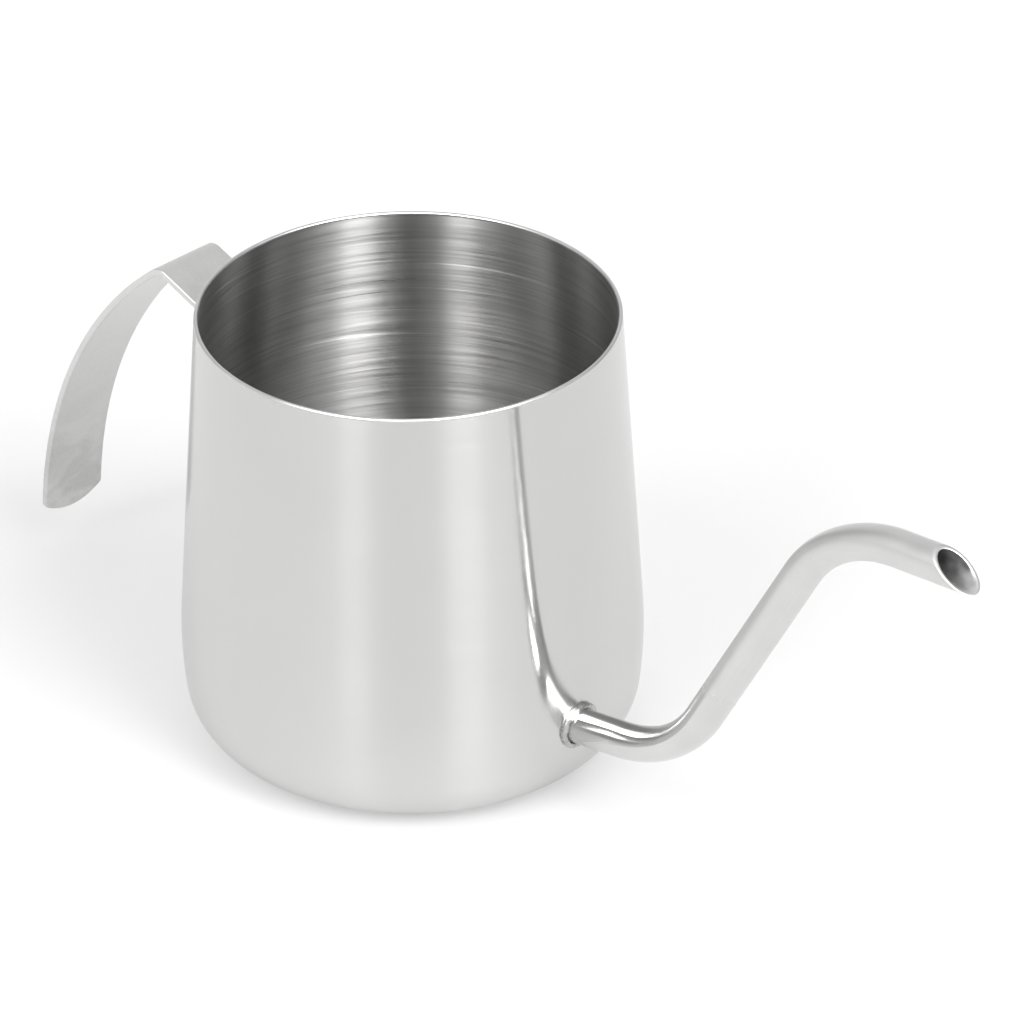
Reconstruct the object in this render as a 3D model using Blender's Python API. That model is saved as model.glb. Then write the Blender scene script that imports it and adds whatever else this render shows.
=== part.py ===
"""Small stainless steel gooseneck pouring kettle, in metres, +Z up.

Origin: centre of the cup's underside. The spout points along +X and the
handle along -X, so the object is mirror-symmetric about the XZ plane.
The pieces are a one-piece drawn cup, an S-bent spout tube let into its
wall, the weld bead around that joint, a bent handle strap, and the two
weld nuggets that hold the strap's tab to the wall.
"""

import math

import bmesh
import bpy
from mathutils import Vector

MM = 0.001

# Clearance kept between pieces that touch on the real object
CLEARANCE = 0.3 * MM

# Cup: straight conical side, slow belly curve, tight base corner, flat base
HEIGHT = 71.8 * MM
RIM_RADIUS = 32.5 * MM
WALL = 0.65 * MM
SIDE_TAPER = math.radians(3.7)
BELLY_RADIUS = 75.5 * MM
BELLY_UNDERCUT = math.radians(6.4)
CORNER_RADIUS = 9.5 * MM
CUP_SIDES = 72
CORNER_STEPS = 8
BELLY_STEPS = 4
RIM_STEPS = 4

# Spout: a round tube bent twice, cut at a slant at the tip
TUBE_RADIUS = 2.85 * MM
TUBE_WALL = 0.5 * MM
SPOUT_ROOT_HEIGHT = 13.6 * MM
SPOUT_ROOT_RISE = math.radians(9.0)
SPOUT_ROOT_RUN = 9.0 * MM
SPOUT_BEND_RADIUS = 24.2 * MM
SPOUT_RISER_ANGLE = math.radians(60.2)
SPOUT_RISER_RUN = 37.7 * MM
SPOUT_TIP_ANGLE = math.radians(5.0)
SPOUT_TIP_RUN = 10.5 * MM
TIP_CUT_ANGLE = math.radians(39.5)
TUBE_SIDES = 20
SPOUT_BEND_STEPS = 9

# Length of the cylinder that cuts the hole for the spout
HOLE_CUTTER_LENGTH = 5.2 * MM

# Weld bead around the spout's root
BEAD_WIDTH = 1.2 * MM
BEAD_HEIGHT = 1.0 * MM
BEAD_SIDES = 28
BEAD_ROUND_STEPS = 3

# Handle: one flat strip, bent into a tab, a short bridge and a curved grip
STRAP_WIDTH = 12.1 * MM
STRAP_THICKNESS = 1.1 * MM
STRAP_EDGE_CHAMFER = 0.2 * MM
TAB_TOP_BELOW_RIM = 15.9 * MM
TAB_LENGTH = 14.0 * MM
TAB_BEND_RADIUS = 1.6 * MM
BRIDGE_RISE = math.radians(20.6)
BRIDGE_RUN = 13.0 * MM
CREASE_RADIUS = 2.2 * MM
GRIP_START_ANGLE = math.radians(38.7)
GRIP_END_ANGLE = math.radians(85.8)
GRIP_RADIUS = 76.9 * MM
STRAP_END_CROWN = 1.9 * MM
STRAP_FACETS = 5
TIGHT_BEND_STEPS = 5
GRIP_STEPS = 18

# Weld nuggets between the tab and the wall
NUGGET_RADIUS = 2.3 * MM
NUGGET_THICKNESS = 0.4 * MM
NUGGET_SPACING = 8.0 * MM
NUGGET_SIDES = 16

TAB_STANDOFF = NUGGET_THICKNESS + 2 * CLEARANCE


def clear_scene():
    for item in list(bpy.data.objects):
        bpy.data.objects.remove(item, do_unlink=True)


def steel(name, grey, roughness):
    material = bpy.data.materials.new(name)
    material.use_nodes = True
    shader = material.node_tree.nodes["Principled BSDF"]
    shader.inputs["Base Color"].default_value = (grey, grey, grey * 0.99, 1.0)
    shader.inputs["Metallic"].default_value = 1.0
    shader.inputs["Roughness"].default_value = roughness
    return material


def skin(name, rings, material, joined):
    """Skin equal rings of points in order; join the last to the first, or cap both ends."""
    bm = bmesh.new()
    loops = [[bm.verts.new(point) for point in ring] for ring in rings]
    count = len(loops[0])
    pairs = list(zip(loops, loops[1:]))
    if joined:
        pairs.append((loops[-1], loops[0]))
    else:
        bm.faces.new(loops[0])
        bm.faces.new(loops[-1])
    for near, far in pairs:
        for i in range(count):
            j = (i + 1) % count
            bm.faces.new((near[i], near[j], far[j], far[i]))
    bmesh.ops.recalc_face_normals(bm, faces=bm.faces)
    mesh = bpy.data.meshes.new(name)
    bm.to_mesh(mesh)
    bm.free()
    mesh.shade_smooth()
    mesh.set_sharp_from_angle(angle=math.radians(35))
    mesh.materials.append(material)
    item = bpy.data.objects.new(name, mesh)
    bpy.context.collection.objects.link(item)
    return item


def arc(centre, radius, start, end, steps):
    """Points on an arc in a vertical plane, as (across, up) pairs."""
    points = []
    for i in range(steps + 1):
        angle = start + (end - start) * i / steps
        points.append((centre[0] + radius * math.cos(angle), centre[1] + radius * math.sin(angle)))
    return points


def corner_centre():
    """Centre of the base corner's arc, worked down from the rim."""
    corner_top = CORNER_RADIUS * (1 - math.sin(BELLY_UNDERCUT))
    cone_foot = corner_top + BELLY_RADIUS * (math.sin(SIDE_TAPER) + math.sin(BELLY_UNDERCUT))
    foot_radius = RIM_RADIUS + (HEIGHT - cone_foot) * math.tan(SIDE_TAPER)
    belly_x = foot_radius - BELLY_RADIUS * math.cos(SIDE_TAPER)
    across = belly_x + (BELLY_RADIUS - CORNER_RADIUS) * math.cos(BELLY_UNDERCUT)
    return across, CORNER_RADIUS


def side_profile(inset):
    """The cup's side from its flat base up to the rim, moved inwards by inset."""
    corner = corner_centre()
    reach = BELLY_RADIUS - CORNER_RADIUS
    belly = (corner[0] - reach * math.cos(BELLY_UNDERCUT), corner[1] + reach * math.sin(BELLY_UNDERCUT))
    points = arc(corner, CORNER_RADIUS - inset, -math.pi / 2, -BELLY_UNDERCUT, CORNER_STEPS)
    points += arc(belly, BELLY_RADIUS - inset, -BELLY_UNDERCUT, SIDE_TAPER, BELLY_STEPS)[1:]
    return points


def wall_radius(height):
    """Outer radius of the cup at a height above its base."""
    points = side_profile(0.0) + [(RIM_RADIUS, HEIGHT)]
    for low, high in zip(points, points[1:]):
        if low[1] <= height <= high[1]:
            share = (height - low[1]) / (high[1] - low[1])
            return low[0] + (high[0] - low[0]) * share
    return RIM_RADIUS


def turned_ring(radius, height):
    ring = []
    for i in range(CUP_SIDES):
        angle = 2 * math.pi * i / CUP_SIDES
        ring.append((radius * math.cos(angle), radius * math.sin(angle), height))
    return ring


def hole_cutter(name, start, direction, radius, length):
    """A plain cylinder along a direction, used only to cut a hole."""
    bm = bmesh.new()
    bmesh.ops.create_cone(
        bm, cap_ends=True, segments=TUBE_SIDES, radius1=radius, radius2=radius, depth=length
    )
    mesh = bpy.data.meshes.new(name)
    bm.to_mesh(mesh)
    bm.free()
    cutter = bpy.data.objects.new(name, mesh)
    bpy.context.collection.objects.link(cutter)
    cutter.location = start
    cutter.rotation_mode = "QUATERNION"
    cutter.rotation_quaternion = Vector((0, 0, 1)).rotation_difference(direction)
    cutter.hide_render = True
    cutter.display_type = "WIRE"
    return cutter


def make_body_shell():
    half = WALL / 2
    rim_centre = (RIM_RADIUS - half, HEIGHT - half)
    outer = side_profile(0.0)
    rim = arc(rim_centre, half, 0.0, math.pi, RIM_STEPS)
    inner = side_profile(WALL)
    inner.reverse()
    rings = [turned_ring(*point) for point in outer + rim + inner]
    shell = skin("body_shell", rings, steel("polished_steel", 0.80, 0.12), joined=False)
    root = Vector((wall_radius(SPOUT_ROOT_HEIGHT), 0, SPOUT_ROOT_HEIGHT))
    direction = Vector((math.cos(SPOUT_ROOT_RISE), 0, math.sin(SPOUT_ROOT_RISE)))
    cutter = hole_cutter("spout_hole", root, direction, TUBE_RADIUS + CLEARANCE, HOLE_CUTTER_LENGTH)
    hole = shell.modifiers.new("spout_hole", "BOOLEAN")
    hole.operation = "DIFFERENCE"
    hole.object = cutter
    return shell


def path_step(path, angle, run):
    """Carry a path on in a straight line."""
    x, z = path[-1][:2]
    path.append((x + run * math.cos(angle), z + run * math.sin(angle), angle))


def path_bend(path, angle, new_angle, radius, steps):
    """Carry a path on around a bend; the sign of the turn is worked out."""
    side = 1 if new_angle > angle else -1
    x, z = path[-1][:2]
    cx = x - side * radius * math.sin(angle)
    cz = z + side * radius * math.cos(angle)
    for i in range(1, steps + 1):
        here = angle + (new_angle - angle) * i / steps
        path.append((cx + side * radius * math.sin(here), cz - side * radius * math.cos(here), here))


def spout_path():
    """The tube's centre line from the cup's inner wall to the middle of the slant cut."""
    start = (wall_radius(SPOUT_ROOT_HEIGHT) - WALL, SPOUT_ROOT_HEIGHT, SPOUT_ROOT_RISE)
    path = [start]
    path_step(path, SPOUT_ROOT_RISE, WALL + SPOUT_ROOT_RUN)
    path_bend(path, SPOUT_ROOT_RISE, SPOUT_RISER_ANGLE, SPOUT_BEND_RADIUS, SPOUT_BEND_STEPS)
    path_step(path, SPOUT_RISER_ANGLE, SPOUT_RISER_RUN)
    path_bend(path, SPOUT_RISER_ANGLE, SPOUT_TIP_ANGLE, SPOUT_BEND_RADIUS, SPOUT_BEND_STEPS)
    path_step(path, SPOUT_TIP_ANGLE, SPOUT_TIP_RUN)
    return path


def tube_ring(station, radius, slant):
    """A circle round the path; slant shears it along the tube to the cut plane."""
    x, z, angle = station
    ring = []
    for i in range(TUBE_SIDES):
        turn = 2 * math.pi * i / TUBE_SIDES
        up = radius * math.cos(turn)
        along = -up * slant
        px = x + along * math.cos(angle) - up * math.sin(angle)
        pz = z + along * math.sin(angle) + up * math.cos(angle)
        ring.append((px, radius * math.sin(turn), pz))
    return ring


def make_spout_tube():
    path = spout_path()
    slants = [0.0] * (len(path) - 1) + [1 / math.tan(TIP_CUT_ANGLE)]
    outer = [tube_ring(s, TUBE_RADIUS, slant) for s, slant in zip(path, slants)]
    bore = [tube_ring(s, TUBE_RADIUS - TUBE_WALL, slant) for s, slant in zip(path, slants)]
    bore.reverse()
    return skin("spout_tube", outer + bore, steel("spout_steel", 0.78, 0.18), joined=True)


def make_spout_weld_bead():
    """A ring around the tube whose back follows the curved wall."""
    inner = TUBE_RADIUS + CLEARANCE
    section = [(inner, 0.0)]
    for reach, lift in arc((0.0, 0.0), 1.0, 0.0, math.pi / 2, BEAD_ROUND_STEPS):
        section.append((inner + BEAD_WIDTH * reach, BEAD_HEIGHT * lift))
    rings = []
    for i in range(BEAD_SIDES):
        turn = 2 * math.pi * i / BEAD_SIDES
        ring = []
        for reach, lift in section:
            y = reach * math.cos(turn)
            z = SPOUT_ROOT_HEIGHT + reach * math.sin(turn) / math.cos(SPOUT_ROOT_RISE)
            wall_x = math.sqrt(wall_radius(z) ** 2 - y ** 2)
            rise = (wall_x + lift - wall_radius(SPOUT_ROOT_HEIGHT)) * math.tan(SPOUT_ROOT_RISE)
            ring.append((wall_x + CLEARANCE + lift, y, z + rise))
        rings.append(ring)
    return skin("spout_weld_bead", rings, steel("weld_steel", 0.62, 0.35), joined=True)


def tab_foot():
    """Middle of the strap's thickness at the bottom of the tab, as (x, z)."""
    z = HEIGHT - TAB_TOP_BELOW_RIM - TAB_LENGTH * math.cos(SIDE_TAPER)
    off = TAB_STANDOFF + STRAP_THICKNESS / 2
    x = -(wall_radius(z) + off / math.cos(SIDE_TAPER))
    return x, z


def strap_path():
    """Middle line of the strap from the tab's foot to the end of the grip."""
    x, z = tab_foot()
    up_wall = math.pi / 2 - SIDE_TAPER
    out = math.pi - BRIDGE_RISE
    down = math.pi + GRIP_START_ANGLE
    path = [(x, z, up_wall)]
    path_step(path, up_wall, TAB_LENGTH)
    path_bend(path, up_wall, out, TAB_BEND_RADIUS, TIGHT_BEND_STEPS)
    path_step(path, out, BRIDGE_RUN)
    path_bend(path, out, down, CREASE_RADIUS, TIGHT_BEND_STEPS)
    path_bend(path, down, math.pi + GRIP_END_ANGLE, GRIP_RADIUS, GRIP_STEPS)
    return path


def strap_ring(station, crown):
    """The strip's cross-section; crown pushes the middle of its width along the path."""
    x, z, angle = station
    half = STRAP_WIDTH / 2
    thick = STRAP_THICKNESS / 2
    cut = STRAP_EDGE_CHAMFER
    flat = half - cut
    across = [flat * (2 * i / STRAP_FACETS - 1) for i in range(STRAP_FACETS + 1)]
    outline = [(y, thick) for y in across] + [(half, thick - cut), (half, cut - thick)]
    outline += [(y, -thick) for y in reversed(across)] + [(-half, cut - thick), (-half, thick - cut)]
    ring = []
    for y, off in outline:
        along = crown * (1 - (y / half) ** 2)
        px = x + along * math.cos(angle) - off * math.sin(angle)
        pz = z + along * math.sin(angle) + off * math.cos(angle)
        ring.append((px, y, pz))
    return ring


def make_handle_strap():
    path = strap_path()
    rings = [strap_ring(station, 0.0) for station in path[:-1]]
    rings.append(strap_ring(path[-1], STRAP_END_CROWN))
    return skin("handle_strap", rings, steel("strap_steel", 0.72, 0.3), joined=False)


def make_weld_nugget(name, along_tab):
    """A thin disc between the wall and the tab, square to the tab."""
    foot_x, foot_z = tab_foot()
    lean = Vector((math.sin(SIDE_TAPER), 0, math.cos(SIDE_TAPER)))
    out = Vector((-math.cos(SIDE_TAPER), 0, math.sin(SIDE_TAPER)))
    middle = Vector((foot_x, 0, foot_z)) + lean * along_tab
    face = middle - out * (STRAP_THICKNESS / 2 + CLEARANCE)
    rings = []
    for depth in (NUGGET_THICKNESS, 0.0):
        ring = []
        for i in range(NUGGET_SIDES):
            turn = 2 * math.pi * i / NUGGET_SIDES
            spot = face - out * depth + lean * (NUGGET_RADIUS * math.cos(turn))
            ring.append(spot + Vector((0, NUGGET_RADIUS * math.sin(turn), 0)))
        rings.append(ring)
    return skin(name, rings, steel(name + "_steel", 0.6, 0.4), joined=False)


def main():
    clear_scene()
    make_body_shell()
    make_spout_tube()
    make_spout_weld_bead()
    make_handle_strap()
    middle = TAB_LENGTH / 2
    make_weld_nugget("handle_weld_lower", middle - NUGGET_SPACING / 2)
    make_weld_nugget("handle_weld_upper", middle + NUGGET_SPACING / 2)


main()
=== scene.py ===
"""Looks for a small stainless steel gooseneck kettle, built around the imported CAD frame.

Metres, +Z up, origin at the centre of the cup's underside, spout along +X.
"""

import math

import bmesh
import bpy
from mathutils import Matrix, Vector, noise


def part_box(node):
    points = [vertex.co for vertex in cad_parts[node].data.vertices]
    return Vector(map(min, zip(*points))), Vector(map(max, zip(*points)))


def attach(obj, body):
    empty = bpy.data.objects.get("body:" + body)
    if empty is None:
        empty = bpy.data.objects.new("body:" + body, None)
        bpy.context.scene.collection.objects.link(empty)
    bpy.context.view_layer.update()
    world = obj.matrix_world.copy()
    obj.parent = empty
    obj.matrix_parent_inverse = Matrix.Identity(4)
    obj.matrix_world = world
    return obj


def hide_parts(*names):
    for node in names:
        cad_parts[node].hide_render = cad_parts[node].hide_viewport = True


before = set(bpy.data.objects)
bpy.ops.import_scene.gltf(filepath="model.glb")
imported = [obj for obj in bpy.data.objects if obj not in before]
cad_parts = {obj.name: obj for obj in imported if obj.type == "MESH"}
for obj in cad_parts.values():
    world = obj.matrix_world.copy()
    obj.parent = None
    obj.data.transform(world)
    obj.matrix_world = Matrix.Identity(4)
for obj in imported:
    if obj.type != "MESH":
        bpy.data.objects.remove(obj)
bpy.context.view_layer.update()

MM = 0.001

# Places taken from the frame
CUP_LOW, CUP_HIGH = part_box("body_shell")
TUBE_LOW, TUBE_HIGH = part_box("spout_tube")
STRAP_LOW, STRAP_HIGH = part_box("handle_strap")
HEIGHT = CUP_HIGH.z
BASE_Z = CUP_LOW.z

# Cup
RIM_RADIUS = 32.5 * MM
WALL = 0.65 * MM
SIDE_TAPER = math.radians(3.7)
BELLY_RADIUS = 75.5 * MM
BELLY_UNDERCUT = math.radians(6.4)
CORNER_RADIUS = 9.5 * MM
CUP_SIDES = 288

# Spout
TUBE_RADIUS = (TUBE_HIGH.y - TUBE_LOW.y) / 2
TUBE_WALL = 0.5 * MM
ROOT_HEIGHT = 13.6 * MM
ROOT_RISE = math.radians(9.0)
ROOT_RUN = 9.0 * MM
SPOUT_BEND_RADIUS = 24.2 * MM
RISER_ANGLE = math.radians(60.2)
RISER_RUN = 37.7 * MM
TIP_ANGLE = math.radians(5.0)
TIP_RUN = 10.5 * MM
TIP_CUT_ANGLE = math.radians(39.5)
BEND_FLATTENING = 0.95
TIP_LIP = 0.14 * MM
TUBE_SIDES = 64
HOLE_RADIUS = TUBE_RADIUS * 1.01
HOLE_CUTTER_LENGTH = 6.0 * MM

# Weld ring round the spout's root
BEAD_RADIUS = TUBE_RADIUS + 0.42 * MM
BEAD_SIZE = 0.50 * MM
BEAD_TOP_EXTRA = 0.08 * MM
BEAD_LUMP = 0.08 * MM
BEAD_RIPPLE = 0.02 * MM
BEAD_RIPPLES = 17
BEAD_WANDER = 0.12 * MM
BEAD_OFF_WALL = 0.25 * MM
BEAD_DEPTH_SHARE = 1.15
BEAD_ROUGHNESS = 0.06
BEAD_SIDES = 220
BEAD_SECTION_SIDES = 20

# Strap
STRAP_WIDTH = STRAP_HIGH.y - STRAP_LOW.y
STRAP_THICKNESS = 1.1 * MM
STRAP_EDGE_RADIUS = 0.2 * MM
TAB_STANDOFF = 1.0 * MM
TAB_TOP_BELOW_RIM = 15.9 * MM
TAB_LENGTH = 14.0 * MM
TAB_BEND_RADIUS = 1.6 * MM
BRIDGE_RISE = math.radians(20.6)
BRIDGE_RUN = 13.0 * MM
CREASE_RADIUS = 2.2 * MM
GRIP_START_ANGLE = math.radians(38.7)
GRIP_END_ANGLE = math.radians(85.8)
GRIP_RADIUS = 76.9 * MM
STRAP_END_CROWN = 1.9 * MM
STRAP_END_CORNER = 0.7 * MM
STRAP_END_ROUND = 0.45 * MM
CROWN_RUN = 6.0 * MM
TAB_END_CORNER = 0.8 * MM
TAB_END_STATIONS = [0.08 * MM, 0.2 * MM, 0.5 * MM, 1.0 * MM]
GRIP_END_STATIONS = [1.6 * MM, 1.2 * MM, 0.8 * MM, 0.5 * MM, 0.3 * MM, 0.15 * MM, 0.05 * MM]
NUGGET_HALF_THICKNESS = 0.62 * MM

# Scale inside the cup
MARK_AZIMUTH = math.radians(-90.0)
MARK_LIFT = 0.02 * MM
MARK_LINE = 0.45 * MM
MARK_VOLUMES = range(100, 226, 25)
NUMBERED_STEP = 50
LONG_TICK = 5.2 * MM
SHORT_TICK = 3.0 * MM
NUMBER_SIZE = 4.2 * MM
NUMBER_OFFSET = 6.2 * MM

# Camera, measured from the middle of the rim
CAMERA_AZIMUTH = 44.56
CAMERA_ELEVATION = 30.9
CAMERA_ROLL = -0.31
CAMERA_LENS = 235.3
CAMERA_DISTANCE = 1012.0 * MM
AIM_RIGHT = 15.69 * MM
AIM_DOWN = 30.19 * MM

# Lamps: degrees, metres and watts
SOFTBOX_SWING = 28.5
SOFTBOX_ELEVATION = 38
SOFTBOX_DISTANCE = 1.6
LEFT_BOX_SIZE = (0.36, 0.8)
RIGHT_BOX_SIZE = (0.46, 0.8)
LEFT_BOX_POWER = 20
RIGHT_BOX_POWER = 33
WASH_STRENGTH = 0.5
WASH_ANGLE = math.radians(100)

# Room brightness, as radiance
ROOM_LIGHT = 0.55
GAP_LIGHT = 0.5
LEFT_FILL = 9.0
RIGHT_FILL = 15.0
FAR_LIGHT = 0.5
CEILING_LIGHT = 0.4
LEFT_WALL_LIGHT = 0.4
FLOOR_GLOW = 0.42


# ---------------------------------------------------------------- mesh tools

def make_object(name, bm, materials, sharp=35):
    mesh = bpy.data.meshes.new(name)
    bm.to_mesh(mesh)
    bm.free()
    mesh.shade_smooth()
    mesh.set_sharp_from_angle(angle=math.radians(sharp))
    for material in materials:
        mesh.materials.append(material)
    item = bpy.data.objects.new(name, mesh)
    bpy.context.collection.objects.link(item)
    return item


def skin(rings, joined, coords=None, pick=None):
    """Skin equal rings in order; coords gives a UV for (ring, step), pick a material slot for a ring."""
    bm = bmesh.new()
    layer = bm.loops.layers.uv.new("path") if coords else None
    loops = [[bm.verts.new(point) for point in ring] for ring in rings]
    count = len(loops[0])
    pairs = list(range(len(loops) if joined else len(loops) - 1))
    for k in pairs:
        near, far = loops[k], loops[(k + 1) % len(loops)]
        for i in range(count):
            j = (i + 1) % count
            face = bm.faces.new((near[i], near[j], far[j], far[i]))
            if pick:
                face.material_index = pick(k)
            if layer:
                corners = ((k, i), (k, i + 1), (k + 1, i + 1), (k + 1, i))
                for loop, corner in zip(face.loops, corners):
                    loop[layer].uv = coords(*corner)
    if not joined:
        first = bm.faces.new(loops[0])
        last = bm.faces.new(loops[-1])
        if pick:
            first.material_index = pick(0)
            last.material_index = pick(len(loops) - 2)
    bmesh.ops.recalc_face_normals(bm, faces=bm.faces)
    return bm


def arc(centre, radius, start, end, steps):
    """Points along a circular arc, both ends included."""
    points = []
    for i in range(steps + 1):
        angle = start + (end - start) * i / steps
        points.append((centre[0] + radius * math.cos(angle), centre[1] + radius * math.sin(angle)))
    return points


def step_path(path, angle, run, steps):
    """Carry a path straight on."""
    x, z = path[-1][:2]
    for i in range(1, steps + 1):
        reach = run * i / steps
        path.append((x + reach * math.cos(angle), z + reach * math.sin(angle), angle, 0.0))


def bend_path(path, angle, new_angle, radius, steps):
    """Carry a path on round a bend; the fourth value says how far into a bend a station is."""
    side = 1 if new_angle > angle else -1
    x, z = path[-1][:2]
    cx = x - side * radius * math.sin(angle)
    cz = z + side * radius * math.cos(angle)
    for i in range(1, steps + 1):
        share = i / steps
        here = angle + (new_angle - angle) * share
        px = cx + side * radius * math.sin(here)
        pz = cz - side * radius * math.cos(here)
        path.append((px, pz, here, math.sin(math.pi * share)))


def lengths_along(path):
    """Distance from the path's start to each of its stations."""
    total = [0.0]
    for a, b in zip(path, path[1:]):
        total.append(total[-1] + math.hypot(b[0] - a[0], b[1] - a[1]))
    return total


def finish_piece(item, slot, *nodes):
    """Hand a piece to the frame: its body and the CAD nodes it stands for, which are hidden; slot is not
    used.
    """
    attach(item, "root")
    if nodes:
        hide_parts(*nodes)
    return item


# ---------------------------------------------------------------- material tools

class NodeTree:
    """A short way to add and join nodes."""

    def __init__(self, tree):
        self.tree = tree

    def add(self, kind, **settings):
        node = self.tree.nodes.new(kind)
        for key, value in settings.items():
            setattr(node, key, value)
        return node

    def link(self, source, target):
        self.tree.links.new(source, target)

    def feed(self, socket, value):
        if isinstance(value, bpy.types.NodeSocket):
            self.link(value, socket)
        else:
            socket.default_value = value

    def math(self, operation, a, b=0.0):
        node = self.add("ShaderNodeMath", operation=operation)
        self.feed(node.inputs[0], a)
        self.feed(node.inputs[1], b)
        return node.outputs[0]

    def noise(self, vector, scale, detail=2.0, roughness=0.5, distortion=0.0):
        node = self.add("ShaderNodeTexNoise")
        self.feed(node.inputs["Vector"], vector)
        node.inputs["Scale"].default_value = scale
        node.inputs["Detail"].default_value = detail
        node.inputs["Roughness"].default_value = roughness
        node.inputs["Distortion"].default_value = distortion
        return node.outputs["Fac"]

    def stretched(self, vector, scale, turn=(0.0, 0.0, 0.0)):
        """Coordinates turned first, in degrees, and then scaled along the axes."""
        turned = self.add("ShaderNodeMapping")
        self.feed(turned.inputs["Vector"], vector)
        turned.inputs["Rotation"].default_value = [math.radians(v) for v in turn]
        scaled = self.add("ShaderNodeMapping")
        self.link(turned.outputs["Vector"], scaled.inputs["Vector"])
        scaled.inputs["Scale"].default_value = scale
        return scaled.outputs["Vector"]

    def remap(self, value, low, high, new_low, new_high):
        node = self.add("ShaderNodeMapRange")
        self.feed(node.inputs["Value"], value)
        for index, number in enumerate((low, high, new_low, new_high), 1):
            self.feed(node.inputs[index], number)
        return node.outputs["Result"]

    def smooth(self, value, low, high):
        node = self.add("ShaderNodeMapRange", interpolation_type="SMOOTHSTEP")
        self.feed(node.inputs["Value"], value)
        node.inputs[1].default_value = low
        node.inputs[2].default_value = high
        return node.outputs["Result"]

    def vector(self, operation, a, b=None):
        node = self.add("ShaderNodeVectorMath", operation=operation)
        self.feed(node.inputs[0], a)
        if b is not None:
            self.feed(node.inputs[1], b)
        return node.outputs["Value" if operation == "DOT_PRODUCT" else 0]


class Nodes(NodeTree):
    """A Principled material with object coordinates at hand."""

    def __init__(self, name, color, metallic, roughness):
        self.material = bpy.data.materials.new(name)
        self.material.use_nodes = True
        super().__init__(self.material.node_tree)
        self.shader = self.tree.nodes["Principled BSDF"]
        self.shader.inputs["Base Color"].default_value = (*color, 1.0)
        self.shader.inputs["Metallic"].default_value = metallic
        self.shader.inputs["Roughness"].default_value = roughness
        self.coords = self.add("ShaderNodeTexCoord")

    def grey(self, value, tint=(1.0, 1.0, 1.0)):
        node = self.add("ShaderNodeCombineColor")
        for index, part in enumerate(tint):
            self.feed(node.inputs[index], self.math("MULTIPLY", value, part))
        return node.outputs["Color"]

    def bump(self, height, distance, normal=None):
        node = self.add("ShaderNodeBump")
        node.inputs["Distance"].default_value = distance
        self.feed(node.inputs["Height"], height)
        if normal:
            self.link(normal, node.inputs["Normal"])
        return node.outputs["Normal"]

    def ring_tangent(self, tilt):
        """A tangent running round the Z axis, tipped up or down by tilt."""
        parts = self.add("ShaderNodeSeparateXYZ")
        flat = self.vector("MULTIPLY", self.coords.outputs["Object"], (1.0, 1.0, 0.0))
        self.link(self.vector("NORMALIZE", flat), parts.inputs[0])
        joined = self.add("ShaderNodeCombineXYZ")
        self.feed(joined.inputs[0], self.math("MULTIPLY", parts.outputs[1], -1.0))
        self.feed(joined.inputs[1], parts.outputs[0])
        self.feed(joined.inputs[2], tilt)
        self.link(joined.outputs[0], self.shader.inputs["Tangent"])
        self.shader.inputs["Anisotropic Rotation"].default_value = 0.25


# ---------------------------------------------------------------- materials

def polished_outside():
    """Near-mirror polish whose last very fine level lines spread the light up and down."""
    n = Nodes("cup_outside", (0.61, 0.61, 0.606), 1.0, 0.165)
    place = n.coords.outputs["Object"]
    lines = n.noise(n.stretched(place, (30, 30, 2600), turn=(0.3, 0.2, 0)), 1.0, 2.0, 0.6)
    smudge = n.noise(place, 42.0, 4.0, 0.6, 0.4)
    tone = n.remap(smudge, 0.3, 0.7, 0.604, 0.616)
    tone = n.math("ADD", tone, n.remap(lines, 0.25, 0.75, -0.006, 0.006))
    n.link(n.grey(tone, (1.0, 1.0, 0.993)), n.shader.inputs["Base Color"])
    rough = n.math("ADD", n.remap(lines, 0.3, 0.7, 0.155, 0.175), n.remap(smudge, 0.35, 0.75, -0.004, 0.008))
    n.link(rough, n.shader.inputs["Roughness"])
    n.shader.inputs["Anisotropic"].default_value = 1.0
    n.ring_tangent(0.0)
    swell = n.noise(n.stretched(place, (40, 40, 25)), 1.0, 1.0, 0.4)
    n.link(n.bump(swell, 6.0e-6), n.shader.inputs["Normal"])
    return n.material


def brushed_inside():
    """Coarse brushing round the inside: fine lines, longer scratches, lines that wander off level."""
    n = Nodes("cup_inside", (0.55, 0.55, 0.54), 1.0, 0.36)
    place = n.coords.outputs["Object"]
    fine = n.noise(n.stretched(place, (45, 45, 4200), turn=(0.5, -0.4, 0)), 1.0, 3.0, 0.65)
    mid = n.noise(n.stretched(place, (30, 30, 1500), turn=(-1.1, 0.7, 0)), 1.0, 2.0, 0.6)
    steep = n.noise(n.stretched(place, (20, 20, 1900), turn=(3.2, 2.2, 0)), 1.0, 2.0, 0.5)
    scratch = n.remap(steep, 0.68, 0.78, 0.0, 1.0)
    tone = n.math("ADD", n.remap(fine, 0.25, 0.75, 0.40, 0.50), n.remap(mid, 0.3, 0.7, -0.05, 0.05))
    tone = n.math("ADD", tone, n.math("MULTIPLY", scratch, 0.2))
    n.link(n.grey(tone, (1.0, 1.0, 0.985)), n.shader.inputs["Base Color"])
    rough = n.math("ADD", n.remap(mid, 0.25, 0.75, 0.27, 0.33), n.math("MULTIPLY", scratch, 0.06))
    n.link(rough, n.shader.inputs["Roughness"])
    n.shader.inputs["Anisotropic"].default_value = 1.0
    tilt = n.math("ADD", n.remap(fine, 0.2, 0.8, -0.02, 0.02), n.remap(mid, 0.2, 0.8, -0.02, 0.02))
    n.ring_tangent(tilt)
    height = n.math("ADD", n.math("MULTIPLY", fine, 0.5), mid)
    height = n.math("ADD", height, n.math("MULTIPLY", scratch, 0.8))
    n.link(n.bump(height, 3.0e-6), n.shader.inputs["Normal"])
    return n.material


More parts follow.
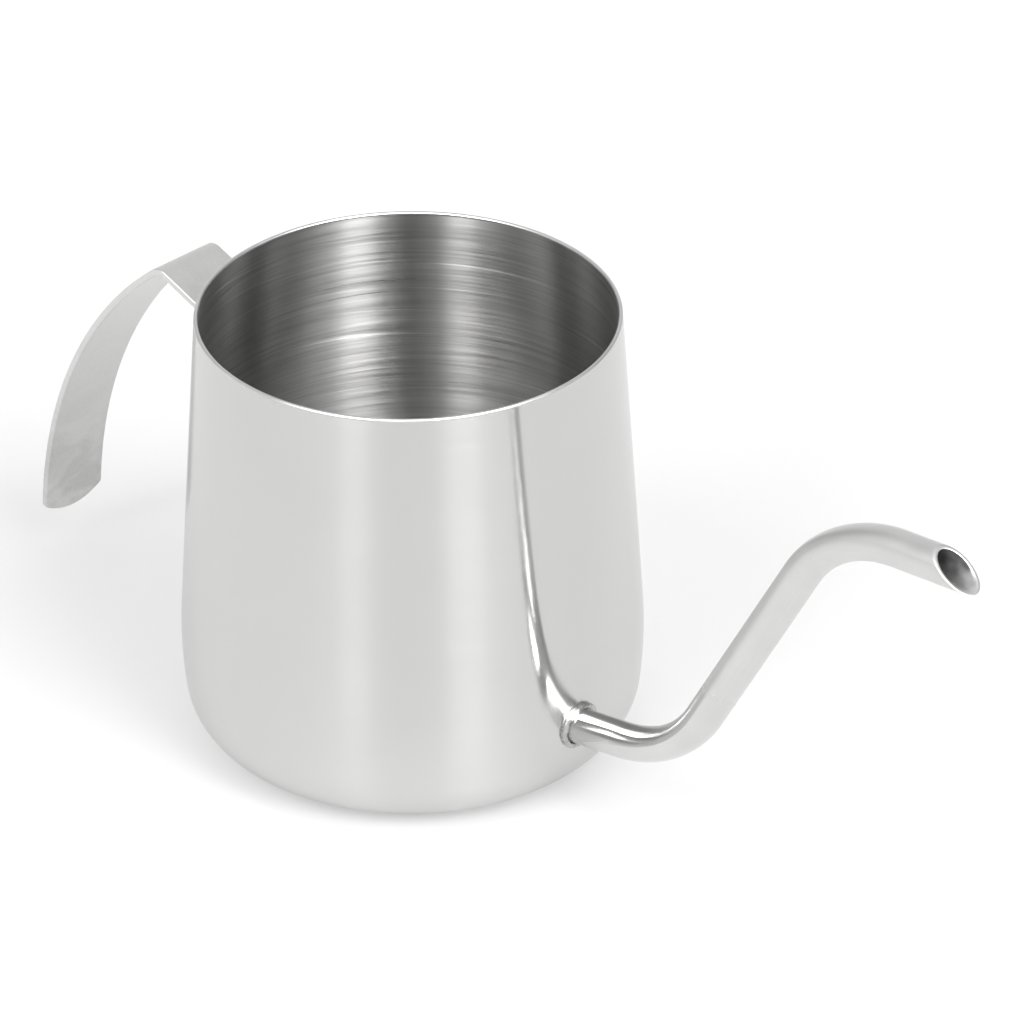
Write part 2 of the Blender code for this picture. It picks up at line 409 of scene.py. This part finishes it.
def rim_lip():
    """The buffed edge of the rim."""
    n = Nodes("rim_lip", (0.6, 0.6, 0.59), 1.0, 0.34)
    wear = n.noise(n.coords.outputs["Object"], 180.0, 3.0)
    n.link(n.grey(n.remap(wear, 0.3, 0.7, 0.56, 0.62)), n.shader.inputs["Base Color"])
    n.link(n.remap(wear, 0.3, 0.7, 0.30, 0.38), n.shader.inputs["Roughness"])
    n.link(n.bump(wear, 5.0e-7), n.shader.inputs["Normal"])
    return n.material


def tube_steel():
    """Bright and faintly streaky along the tube by the weld, turning satin up the riser."""
    n = Nodes("spout_outside", (0.66, 0.66, 0.65), 1.0, 0.2)
    uv = n.add("ShaderNodeUVMap", uv_map="path")
    parts = n.add("ShaderNodeSeparateXYZ")
    n.link(uv.outputs[0], parts.inputs[0])
    turn = n.math("MULTIPLY", parts.outputs[0], 2 * math.pi)
    along = parts.outputs[1]
    spot = n.add("ShaderNodeCombineXYZ")
    n.feed(spot.inputs[0], n.math("COSINE", turn))
    n.feed(spot.inputs[1], n.math("SINE", turn))
    n.feed(spot.inputs[2], n.math("MULTIPLY", along, 12.0))
    streak = n.noise(spot.outputs[0], 9.0, 3.0, 0.6)
    cloud = n.noise(n.coords.outputs["Object"], 160.0, 3.0, 0.55)
    satin = n.remap(along, 26 * MM, 46 * MM, 0.0, 1.0)
    tone = n.math("ADD", n.remap(streak, 0.3, 0.7, 0.62, 0.64), n.remap(cloud, 0.3, 0.7, -0.015, 0.015))
    n.link(n.grey(tone, (1.0, 1.0, 0.992)), n.shader.inputs["Base Color"])
    rough = n.math("ADD", n.remap(satin, 0.0, 1.0, 0.11, 0.36), n.remap(cloud, 0.3, 0.7, -0.01, 0.02))
    n.link(n.math("ADD", rough, n.remap(streak, 0.3, 0.7, -0.01, 0.01)), n.shader.inputs["Roughness"])
    n.link(n.bump(streak, 5.0e-7), n.shader.inputs["Normal"])
    return n.material


def tube_bore():
    """The inside of the tube, dull from drawing."""
    n = Nodes("spout_bore", (0.5, 0.5, 0.49), 1.0, 0.35)
    marks = n.noise(n.coords.outputs["Object"], 600.0, 3.0)
    n.link(n.grey(n.remap(marks, 0.3, 0.7, 0.52, 0.64)), n.shader.inputs["Base Color"])
    n.link(n.remap(marks, 0.3, 0.7, 0.28, 0.42), n.shader.inputs["Roughness"])
    n.link(n.bump(marks, 6.0e-6), n.shader.inputs["Normal"])
    return n.material


def strap_steel():
    """Satin strip with faint lengthwise lines and smudges, and a painted dark reflection towards the grip's
    low end.
    """
    n = Nodes("strap_satin", (0.68, 0.68, 0.67), 1.0, 0.34)
    uv = n.add("ShaderNodeUVMap", uv_map="path")
    lines = n.noise(n.stretched(uv.outputs[0], (2600, 30, 1)), 1.0, 3.0, 0.6)
    place = n.coords.outputs["Object"]
    grain = n.noise(place, 2400.0, 2.0, 0.6)
    smudge = n.noise(n.stretched(place, (110, 110, 190), turn=(0.4, 0.5, 0.3)), 1.0, 4.0, 0.6, 0.5)
    parts = n.add("ShaderNodeSeparateXYZ")
    n.link(place, parts.inputs[0])
    # Painted dark reflection: the smudge pattern darkens the tone more and more towards the grip's low end.
    painted_reflection_fade = n.smooth(parts.outputs[2], HEIGHT * 0.55, HEIGHT * 0.1)
    painted_dark_reflection = n.math("MULTIPLY", painted_reflection_fade, n.remap(smudge, 0.4, 0.62, 0.02, 0.14))
    tone = n.math("ADD", n.remap(smudge, 0.3, 0.7, 0.63, 0.67), n.remap(grain, 0.3, 0.7, -0.02, 0.02))
    tone = n.math("SUBTRACT", tone, painted_dark_reflection)
    n.link(n.grey(tone, (1.0, 1.0, 0.992)), n.shader.inputs["Base Color"])
    rough = n.math("ADD", n.remap(smudge, 0.35, 0.7, 0.30, 0.38), n.remap(lines, 0.3, 0.7, -0.03, 0.03))
    n.link(rough, n.shader.inputs["Roughness"])
    height = n.math("ADD", n.math("MULTIPLY", grain, 0.6), n.math("MULTIPLY", lines, 0.4))
    normal = n.bump(height, 3.0e-6)
    n.link(n.bump(smudge, 1.0e-5, normal), n.shader.inputs["Normal"])
    return n.material


def weld_steel():
    """Bright weld metal, with painted shade darkening its crevices."""
    n = Nodes("weld_metal", (0.62, 0.62, 0.61), 1.0, 0.25)
    place = n.coords.outputs["Object"]
    crust = n.noise(place, 900.0, 4.0, 0.6, 0.3)
    geometry = n.add("ShaderNodeNewGeometry")
    # Painted shade: the tone darkens where the surface is hollow.
    painted_crevice_shade = n.remap(geometry.outputs["Pointiness"], 0.44, 0.54, 0.35, 1.0)
    tone = n.math("MULTIPLY", n.remap(crust, 0.3, 0.7, 0.42, 0.56), painted_crevice_shade)
    n.link(n.grey(tone, (1.0, 0.995, 0.975)), n.shader.inputs["Base Color"])
    n.link(n.remap(crust, 0.3, 0.7, 0.22, 0.36), n.shader.inputs["Roughness"])
    n.link(n.bump(crust, 8.0e-6), n.shader.inputs["Normal"])
    return n.material


def etched_mark():
    """Dark etched graduation."""
    n = Nodes("etched_mark", (0.03, 0.03, 0.03), 0.3, 0.6)
    fade = n.noise(n.coords.outputs["Object"], 1500.0, 3.0)
    n.link(n.grey(n.remap(fade, 0.3, 0.7, 0.02, 0.06)), n.shader.inputs["Base Color"])
    n.link(n.remap(fade, 0.3, 0.7, 0.5, 0.75), n.shader.inputs["Roughness"])
    n.link(n.bump(fade, 5.0e-6), n.shader.inputs["Normal"])
    return n.material


# ---------------------------------------------------------------- cup

def corner_centre():
    """Centre of the arc between base and belly, from the arcs and the taper above it."""
    corner_top = CORNER_RADIUS * (1 - math.sin(BELLY_UNDERCUT))
    cone_foot = corner_top + BELLY_RADIUS * (math.sin(SIDE_TAPER) + math.sin(BELLY_UNDERCUT))
    foot_radius = RIM_RADIUS + (HEIGHT - cone_foot) * math.tan(SIDE_TAPER)
    belly_x = foot_radius - BELLY_RADIUS * math.cos(SIDE_TAPER)
    return belly_x + (BELLY_RADIUS - CORNER_RADIUS) * math.cos(BELLY_UNDERCUT), CORNER_RADIUS


def side_profile(inset):
    """The cup's side from its flat base to the top of the belly, moved inwards by inset."""
    corner = corner_centre()
    reach = BELLY_RADIUS - CORNER_RADIUS
    belly = (corner[0] - reach * math.cos(BELLY_UNDERCUT), corner[1] + reach * math.sin(BELLY_UNDERCUT))
    points = arc(corner, CORNER_RADIUS - inset, -math.pi / 2, -BELLY_UNDERCUT, 26)
    points += arc(belly, BELLY_RADIUS - inset, -BELLY_UNDERCUT, SIDE_TAPER, 14)[1:]
    top = (RIM_RADIUS - inset, HEIGHT - WALL / 2)
    last = points[-1]
    for share in [i / 13 for i in range(1, 13)] + [0.985, 0.998]:
        points.append((last[0] + (top[0] - last[0]) * share, last[1] + (top[1] - last[1]) * share))
    return points


def wall_radius(height):
    """Outer radius of the cup's wall at a height."""
    points = side_profile(0.0) + [(RIM_RADIUS, HEIGHT)]
    for low, high in zip(points, points[1:]):
        if low[1] <= height <= high[1]:
            share = (height - low[1]) / (high[1] - low[1])
            return low[0] + (high[0] - low[0]) * share
    return RIM_RADIUS


def turned_ring(radius, height):
    ring = []
    for i in range(CUP_SIDES):
        angle = 2 * math.pi * i / CUP_SIDES
        ring.append((radius * math.cos(angle), radius * math.sin(angle), height))
    return ring


def flat_rings(radius, height, count):
    """Rings that carry a flat disc in towards the middle."""
    return [(radius * (i + 1) / (count + 1), height) for i in range(count)]


def make_cup():
    """One closed shell, turned from a profile that goes up the outside and down the inside."""
    half = WALL / 2
    outer = side_profile(0.0)
    rim = arc((RIM_RADIUS - half, HEIGHT - half), half, 0.0, math.pi, 12)
    inner = side_profile(WALL)
    inner.reverse()
    base_radius = outer[0][0]
    under = flat_rings(base_radius, BASE_Z, 6)
    floor = flat_rings(base_radius, WALL, 6)
    floor.reverse()
    profile = under + outer + rim + inner + floor
    rim_start = len(under) + len(outer)
    inner_start = rim_start + len(rim)

    def pick(k):
        if k < rim_start - 1:
            return 0
        return 2 if k < inner_start else 1

    bm = skin([turned_ring(*point) for point in profile], joined=False, pick=pick)
    cup = make_object("cup", bm, [polished_outside(), brushed_inside(), rim_lip()])
    cut_spout_hole(cup)
    return finish_piece(cup, "cup_steel", "body_shell")


def cut_spout_hole(cup):
    """Cut the tube's hole low in the wall, along the spout's first run."""
    bm = bmesh.new()
    size = {"radius1": HOLE_RADIUS, "radius2": HOLE_RADIUS, "depth": HOLE_CUTTER_LENGTH}
    bmesh.ops.create_cone(bm, cap_ends=True, segments=48, **size)
    cutter = make_object("hole_cutter", bm, [])
    cutter.location = (wall_radius(ROOT_HEIGHT) - WALL / 2, 0, ROOT_HEIGHT)
    cutter.rotation_euler = (0, math.pi / 2 - ROOT_RISE, 0)
    hole = cup.modifiers.new("hole", "BOOLEAN")
    hole.object = cutter
    hole.operation = "DIFFERENCE"
    bpy.context.view_layer.update()
    graph = bpy.context.evaluated_depsgraph_get()
    cut_mesh = bpy.data.meshes.new_from_object(cup.evaluated_get(graph))
    cup.modifiers.clear()
    cup.data = cut_mesh
    bpy.data.objects.remove(cutter)


# ---------------------------------------------------------------- spout

def spout_path():
    """Stations of (x, z, angle, bend share) along the middle of the tube."""
    path = [(wall_radius(ROOT_HEIGHT) - WALL, ROOT_HEIGHT, ROOT_RISE, 0.0)]
    step_path(path, ROOT_RISE, WALL + ROOT_RUN, 8)
    bend_path(path, ROOT_RISE, RISER_ANGLE, SPOUT_BEND_RADIUS, 30)
    step_path(path, RISER_ANGLE, RISER_RUN, 24)
    bend_path(path, RISER_ANGLE, TIP_ANGLE, SPOUT_BEND_RADIUS, 30)
    step_path(path, TIP_ANGLE, TIP_RUN, 16)
    return path


def tube_ring(station, radius, slant, back=0.0):
    """A circle round the path, sheared along the tube by slant and set back from the cut plane."""
    x, z, angle, bend = station
    squash = 1 - (1 - BEND_FLATTENING) * bend
    ring = []
    for i in range(TUBE_SIDES):
        turn = 2 * math.pi * i / TUBE_SIDES
        up = -radius * math.cos(turn) * squash
        along = -up * slant - back
        px = x + along * math.cos(angle) - up * math.sin(angle)
        pz = z + along * math.sin(angle) + up * math.cos(angle)
        ring.append((px, radius * math.sin(turn) * (2 - squash), pz))
    return ring


def make_spout():
    """The tube's outside, its rounded slanted mouth and its bore, as one closed loop of rings."""
    path = spout_path()
    run = lengths_along(path)
    full_slant = 1 / math.tan(TIP_CUT_ANGLE)
    ramp_start = run[-1] - TIP_RUN
    slants = [full_slant * max(0.0, (s - ramp_start) / TIP_RUN) for s in run]
    bore = TUBE_RADIUS - TUBE_WALL
    outer = [(tube_ring(p, TUBE_RADIUS, k), s) for p, k, s in zip(path, slants, run)]
    outer[-1] = (tube_ring(path[-1], TUBE_RADIUS, full_slant, TIP_LIP), run[-1])
    edge = []
    for i in range(1, 6):
        turn = math.pi * i / 6
        radius = (TUBE_RADIUS + bore) / 2 + (TUBE_WALL / 2) * math.cos(turn)
        back = TIP_LIP * (1 - math.sin(turn))
        edge.append((tube_ring(path[-1], radius, full_slant, back), run[-1] + TIP_LIP * i))
    inner = [(tube_ring(p, bore, k), s) for p, k, s in zip(path, slants, run)]
    inner[-1] = (tube_ring(path[-1], bore, full_slant, TIP_LIP), run[-1])
    inner.reverse()
    everything = outer + edge + inner
    mouth = len(outer) + len(edge)

    def coords(k, i):
        return i / TUBE_SIDES, everything[k % len(everything)][1]

    def pick(k):
        return 0 if k < mouth - 1 else 1

    bm = skin([ring for ring, _ in everything], joined=True, coords=coords, pick=pick)
    spout = make_object("spout", bm, [tube_steel(), tube_bore()])
    return finish_piece(spout, "spout_steel", "spout_tube")


def bead_ring(turn):
    """The weld ring's lumpy section at one angle round the tube."""
    around = Vector((math.cos(turn), math.sin(turn), 0.0))
    lump = noise.noise(around * 1.6 + Vector((4.0, 0.0, 1.0)))
    ripple = math.sin(BEAD_RIPPLES * turn + 3.0 * noise.noise(around * 1.7))
    size = BEAD_SIZE + BEAD_TOP_EXTRA * math.sin(turn) + BEAD_LUMP * lump + BEAD_RIPPLE * ripple
    reach = BEAD_RADIUS + BEAD_WANDER * noise.noise(around * 2.3 + Vector((0.0, 7.0, 0.0)))
    ring = []
    for j in range(BEAD_SECTION_SIDES):
        roll = 2 * math.pi * j / BEAD_SECTION_SIDES
        rough = 1 + BEAD_ROUGHNESS * noise.noise(Vector((around.x * 4, around.y * 4, roll * 0.8)))
        out = reach + size * rough * math.cos(roll)
        y = out * math.cos(turn)
        z = ROOT_HEIGHT + out * math.sin(turn)
        wall_x = math.sqrt(wall_radius(z) ** 2 - y ** 2)
        x = wall_x + BEAD_OFF_WALL + BEAD_DEPTH_SHARE * size * rough * math.sin(roll)
        ring.append((x, y, z + (x - wall_radius(ROOT_HEIGHT)) * math.tan(ROOT_RISE)))
    return ring


def make_weld_bead():
    """A slightly lumpy ring of weld in the corner between the tube and the wall."""
    rings = [bead_ring(2 * math.pi * i / BEAD_SIDES) for i in range(BEAD_SIDES)]
    bm = skin(rings, joined=True)
    bead = make_object("weld_bead", bm, [weld_steel()], sharp=80)
    return finish_piece(bead, "weld_steel", "spout_weld_bead")


# ---------------------------------------------------------------- handle

def tab_foot():
    """Where the strap's tab starts, low on the side away from the spout."""
    z = HEIGHT - TAB_TOP_BELOW_RIM - TAB_LENGTH * math.cos(SIDE_TAPER)
    off = TAB_STANDOFF + STRAP_THICKNESS / 2
    return -(wall_radius(z) + off / math.cos(SIDE_TAPER)), z


def strap_path():
    """Up the wall, out along the bridge, over the crease and down the grip."""
    x, z = tab_foot()
    up_wall = math.pi / 2 - SIDE_TAPER
    out = math.pi - BRIDGE_RISE
    down = math.pi + GRIP_START_ANGLE
    path = [(x, z, up_wall, 0.0)]
    for reach in TAB_END_STATIONS:
        path.append((x + reach * math.cos(up_wall), z + reach * math.sin(up_wall), up_wall, 0.0))
    step_path(path, up_wall, TAB_LENGTH - TAB_END_STATIONS[-1], 8)
    bend_path(path, up_wall, out, TAB_BEND_RADIUS, 12)
    step_path(path, out, BRIDGE_RUN, 8)
    bend_path(path, out, down, CREASE_RADIUS, 12)
    bend_path(path, down, math.pi + GRIP_END_ANGLE, GRIP_RADIUS, 64)
    return path


def strap_section(half_width, half_thickness):
    """The strip's rounded rectangular cross-section, as (across, up) points."""
    radius = min(STRAP_EDGE_RADIUS, half_thickness * 0.98)
    w, t = half_width - radius, half_thickness - radius
    points = []
    for cx, cy, start in ((w, t, 0.0), (-w, t, 0.5), (-w, -t, 1.0), (w, -t, 1.5)):
        points += arc((cx, cy), radius, start * math.pi, (start + 0.5) * math.pi, 6)
        if start in (0.0, 1.0):
            side = 1 if start == 0.0 else -1
            points += [(side * w * (1 - 2 * i / 10), side * half_thickness) for i in range(1, 10)]
    return points


def end_share(distance, radius):
    """How much of a rounded end's inset is left at a distance from its end."""
    if distance >= radius:
        return 0.0
    gap = radius - distance
    return radius - math.sqrt(radius * radius - gap * gap)


def strap_stations():
    """(station, distance) along the strap, with close stations where the grip's end is rounded."""
    path = strap_path()
    run = lengths_along(path)
    total = run[-1]
    grip_start = total - GRIP_RADIUS * (GRIP_END_ANGLE - GRIP_START_ANGLE)
    stations = [(p, s) for p, s in zip(path, run) if s < total - 2 * MM or s == total]
    end_x, end_z, end_angle, _ = path[-1]
    for back in GRIP_END_STATIONS:
        s = total - back
        angle = math.pi + GRIP_START_ANGLE + (s - grip_start) / GRIP_RADIUS
        x = end_x - GRIP_RADIUS * (math.sin(end_angle) - math.sin(angle))
        z = end_z + GRIP_RADIUS * (math.cos(end_angle) - math.cos(angle))
        stations.insert(-1, ((x, z, angle, 0.0), s))
    return stations


def strap_ring(station, s, total):
    """The strip's section at a station, narrowed at both ends and pushed out by the end's crown."""
    x, z, angle, _ = station
    from_end = total - s
    half_width = STRAP_WIDTH / 2 - end_share(from_end, STRAP_END_CORNER) - end_share(s, TAB_END_CORNER)
    rounded = end_share(from_end, STRAP_END_ROUND) + end_share(s, STRAP_END_ROUND)
    half_thickness = STRAP_THICKNESS / 2 - 0.6 * rounded
    crown = STRAP_END_CROWN * max(0.0, 1 - from_end / CROWN_RUN)
    ring = []
    for across, up in strap_section(half_width, half_thickness):
        along = crown * (1 - (2 * across / STRAP_WIDTH) ** 2)
        px = x + along * math.cos(angle) - up * math.sin(angle)
        pz = z + along * math.sin(angle) + up * math.cos(angle)
        ring.append((px, across, pz))
    return ring


def make_strap():
    stations = strap_stations()
    total = stations[-1][1]
    rings = [strap_ring(station, s, total) for station, s in stations]
    widths = [point[1] for point in rings[len(rings) // 2]]

    def coords(k, i):
        return widths[i % len(widths)], stations[k][1]

    bm = skin(rings, joined=False, coords=coords)
    strap = make_object("strap_handle", bm, [strap_steel()], sharp=50)
    return finish_piece(strap, "strap_steel", "handle_strap")


def make_nugget(name, node):
    """A flattened, slightly ragged weld between the wall and the tab."""
    low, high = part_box(node)
    middle = (low + high) / 2
    reach = (high.y - low.y) / 2
    bm = bmesh.new()
    bmesh.ops.create_icosphere(bm, subdivisions=4, radius=1.0)
    for vert in bm.verts:
        rough = 1 + 0.10 * noise.noise(vert.co * 2.5 + Vector((0, 0, middle.z * 300)))
        spot = vert.co * rough
        lean = spot.z * reach * math.tan(SIDE_TAPER)
        x = middle.x + spot.x * NUGGET_HALF_THICKNESS + lean
        vert.co = Vector((x, spot.y * reach, middle.z + spot.z * reach))
    nugget = make_object(name, bm, [weld_steel()], sharp=80)
    return finish_piece(nugget, "weld_steel", node)


# ---------------------------------------------------------------- scale inside the cup

def inner_radius(height):
    return wall_radius(height) - WALL


def volume_height(millilitres):
    """Height of the liquid's surface for a volume, by adding up thin discs."""
    step = 0.1 * MM
    height = WALL
    volume = 0.0
    while volume < millilitres * 1e-6:
        volume += math.pi * inner_radius(height + step / 2) ** 2 * step
        height += step
    return height


def on_wall(across, height):
    """A point on the inner wall, across metres round it from the scale's line."""
    radius = inner_radius(height) - MARK_LIFT
    angle = MARK_AZIMUTH - across / radius
    return radius * math.cos(angle), radius * math.sin(angle), height


def mark_bar(bm, across, height, width, tall):
    """A thin bar on the wall, as a strip of quads that follows its curve."""
    steps = max(2, int(width / (0.5 * MM)))
    rows = max(2, int(tall / (1.0 * MM)))
    grid = []
    for r in range(rows + 1):
        z = height - tall / 2 + tall * r / rows
        row = [on_wall(across - width / 2 + width * i / steps, z) for i in range(steps + 1)]
        grid.append([bm.verts.new(point) for point in row])
    for low, high in zip(grid, grid[1:]):
        for i in range(steps):
            bm.faces.new((low[i], low[i + 1], high[i + 1], high[i]))


def make_number(text, across, height, material):
    """A number lettered flat and then laid on the wall."""
    curve = bpy.data.curves.new("number_" + text, "FONT")
    curve.body = text
    curve.size = NUMBER_SIZE
    curve.align_x = "LEFT"
    curve.align_y = "CENTER"
    curve.resolution_u = 4
    item = bpy.data.objects.new("number_" + text, curve)
    bpy.context.collection.objects.link(item)
    bpy.context.view_layer.update()
    graph = bpy.context.evaluated_depsgraph_get()
    mesh = bpy.data.meshes.new_from_object(item.evaluated_get(graph))
    bpy.data.objects.remove(item)
    bm = bmesh.new()
    bm.from_mesh(mesh)
    bmesh.ops.subdivide_edges(bm, edges=bm.edges, cuts=1)
    for vert in bm.verts:
        vert.co = on_wall(across + vert.co.x, height + vert.co.y)
    bmesh.ops.recalc_face_normals(bm, faces=bm.faces)
    number = make_object("number_" + text, bm, [material])
    return finish_piece(number, "cup_steel")


def make_scale():
    """An upright line with a tick at each volume, longer and numbered at every fifty."""
    material = etched_mark()
    low, high = volume_height(MARK_VOLUMES[0]), volume_height(MARK_VOLUMES[-1])
    bm = bmesh.new()
    mark_bar(bm, 0.0, (low + high) / 2, MARK_LINE, high - low + MARK_LINE)
    for volume in MARK_VOLUMES:
        tick = SHORT_TICK if volume % NUMBERED_STEP else LONG_TICK
        mark_bar(bm, tick / 2, volume_height(volume), tick, MARK_LINE)
    scale = make_object("volume_scale", bm, [material])
    finish_piece(scale, "cup_steel")
    for volume in MARK_VOLUMES:
        if volume % NUMBERED_STEP == 0:
            make_number(str(volume), NUMBER_OFFSET, volume_height(volume), material)


# ---------------------------------------------------------------- stage, camera and lights

def direction(azimuth, elevation):
    """From the object towards a viewer or a light. Azimuth 0 is on -Y, 90 on +X."""
    a, e = math.radians(azimuth), math.radians(elevation)
    return Vector((math.sin(a) * math.cos(e), -math.cos(a) * math.cos(e), math.sin(e)))


def make_floor():
    bm = bmesh.new()
    bmesh.ops.create_grid(bm, x_segments=1, y_segments=1, size=6.0)
    n = Nodes("pale_floor", (0.37, 0.37, 0.37), 0.0, 0.9)
    n.shader.inputs["Specular IOR Level"].default_value = 0.0
    paper = n.noise(n.coords.outputs["Object"], 30.0, 2.0)
    n.link(n.grey(n.remap(paper, 0.3, 0.7, 0.365, 0.375)), n.shader.inputs["Base Color"])
    n.shader.inputs["Emission Color"].default_value = (1.0, 1.0, 1.0, 1.0)
    n.shader.inputs["Emission Strength"].default_value = FLOOR_GLOW
    floor = make_object("floor", bm, [n.material])
    floor.location.z = BASE_Z - 0.05 * MM


def make_camera():
    back = direction(CAMERA_AZIMUTH, CAMERA_ELEVATION)
    azimuth = math.radians(CAMERA_AZIMUTH)
    level = Vector((math.cos(azimuth), math.sin(azimuth), 0.0))
    upright = back.cross(level)
    roll = math.radians(CAMERA_ROLL)
    right = level * math.cos(roll) + upright * math.sin(roll)
    up = upright * math.cos(roll) - level * math.sin(roll)
    data = bpy.data.cameras.new("camera")
    data.lens = CAMERA_LENS
    data.sensor_width = 36.0
    data.clip_start = 0.01
    data.clip_end = 50.0
    camera = bpy.data.objects.new("camera", data)
    bpy.context.collection.objects.link(camera)
    rim_middle = Vector((0.0, 0.0, HEIGHT))
    place = rim_middle + right * AIM_RIGHT - up * AIM_DOWN + back * CAMERA_DISTANCE
    camera.matrix_world = Matrix.Translation(place) @ Matrix((right, up, back)).transposed().to_4x4()
    bpy.context.scene.camera = camera


def softbox(name, azimuth, size, power):
    """A lamp that shows only in the steel, not on the floor."""
    data = bpy.data.lights.new(name, "AREA")
    data.shape = "RECTANGLE"
    data.size, data.size_y = size
    data.energy = power
    lamp = bpy.data.objects.new(name, data)
    bpy.context.collection.objects.link(lamp)
    outwards = direction(azimuth, SOFTBOX_ELEVATION)
    lamp.location = Vector((0.0, 0.0, HEIGHT / 2)) + outwards * SOFTBOX_DISTANCE
    lamp.rotation_mode = "QUATERNION"
    lamp.rotation_quaternion = outwards.to_track_quat("Z", "Y")
    lamp.visible_diffuse = False


def make_lights():
    """Two upright softboxes for the bands in the steel and a soft wash for the floor."""
    softbox("softbox_left", CAMERA_AZIMUTH - SOFTBOX_SWING, LEFT_BOX_SIZE, LEFT_BOX_POWER)
    softbox("softbox_right", CAMERA_AZIMUTH + SOFTBOX_SWING, RIGHT_BOX_SIZE, RIGHT_BOX_POWER)
    wash = bpy.data.lights.new("floor_wash", "SUN")
    wash.energy = WASH_STRENGTH
    wash.angle = WASH_ANGLE
    lamp = bpy.data.objects.new("floor_wash", wash)
    bpy.context.collection.objects.link(lamp)
    lamp.visible_glossy = False


def make_world():
    """Pale room with a brighter ceiling, far wall and left wall and a wide fill each side of the camera."""
    world = bpy.data.worlds.new("studio")
    bpy.context.scene.world = world
    world.use_nodes = True
    world.node_tree.nodes.clear()
    n = NodeTree(world.node_tree)
    ray = n.add("ShaderNodeTexCoord").outputs["Generated"]
    parts = n.add("ShaderNodeSeparateXYZ")
    n.link(ray, parts.inputs[0])
    flat = n.vector("NORMALIZE", n.vector("MULTIPLY", ray, (1.0, 1.0, 0.0)))
    facing = n.vector("DOT_PRODUCT", flat, direction(CAMERA_AZIMUTH, 0))
    side = n.vector("DOT_PRODUCT", flat, direction(CAMERA_AZIMUTH + 90, 0))
    height = parts.outputs[2]
    behind_camera = n.smooth(facing, math.cos(math.radians(26)), math.cos(math.radians(6)))
    overhead = n.smooth(height, 0.55, 0.8)
    gap = n.math("MULTIPLY", behind_camera, n.math("SUBTRACT", 1.0, overhead))
    room = n.remap(gap, 0.0, 1.0, ROOM_LIGHT, GAP_LIGHT)
    reach = n.math("ABSOLUTE", side)
    fill = n.math("MULTIPLY", n.smooth(reach, 0.3, 0.6), n.smooth(reach, 0.99, 0.7))
    fill = n.math("MULTIPLY", fill, n.smooth(facing, 0.0, 0.2))
    fill = n.math("MULTIPLY", fill, n.smooth(height, 0.35, 0.5))
    fill = n.math("MULTIPLY", fill, n.smooth(height, 0.9, 0.8))
    fill = n.math("MULTIPLY", fill, n.remap(side, -0.2, 0.2, LEFT_FILL, RIGHT_FILL))
    far = n.math("MULTIPLY", n.smooth(facing, -0.75, -0.95), n.smooth(height, -0.2, 0.0))
    far = n.math("MULTIPLY", far, n.math("MULTIPLY", n.math("SUBTRACT", 1.0, overhead), FAR_LIGHT))
    ceiling = n.math("MULTIPLY", overhead, CEILING_LIGHT)
    left_wall = n.math("MULTIPLY", n.smooth(side, -0.75, -0.95), n.smooth(height, -0.1, 0.05))
    ceiling = n.math("MAXIMUM", ceiling, n.math("MULTIPLY", left_wall, LEFT_WALL_LIGHT))
    radiance = n.math("ADD", n.math("ADD", room, ceiling), n.math("ADD", fill, far))
    lit = n.add("ShaderNodeBackground")
    n.link(radiance, lit.inputs["Strength"])
    seen = n.add("ShaderNodeBackground")
    seen.inputs["Color"].default_value = (1.0, 1.0, 1.0, 1.0)
    mix = n.add("ShaderNodeMixShader")
    n.link(n.add("ShaderNodeLightPath").outputs["Is Camera Ray"], mix.inputs[0])
    n.link(lit.outputs[0], mix.inputs[1])
    n.link(seen.outputs[0], mix.inputs[2])
    n.link(mix.outputs[0], n.add("ShaderNodeOutputWorld").inputs[0])


def main():
    make_cup()
    make_spout()
    make_weld_bead()
    make_strap()
    make_nugget("strap_weld_lower", "handle_weld_lower")
    make_nugget("strap_weld_upper", "handle_weld_upper")
    make_scale()
    make_floor()
    make_camera()
    make_lights()
    make_world()
    bpy.context.scene.view_settings.view_transform = "Standard"


main()
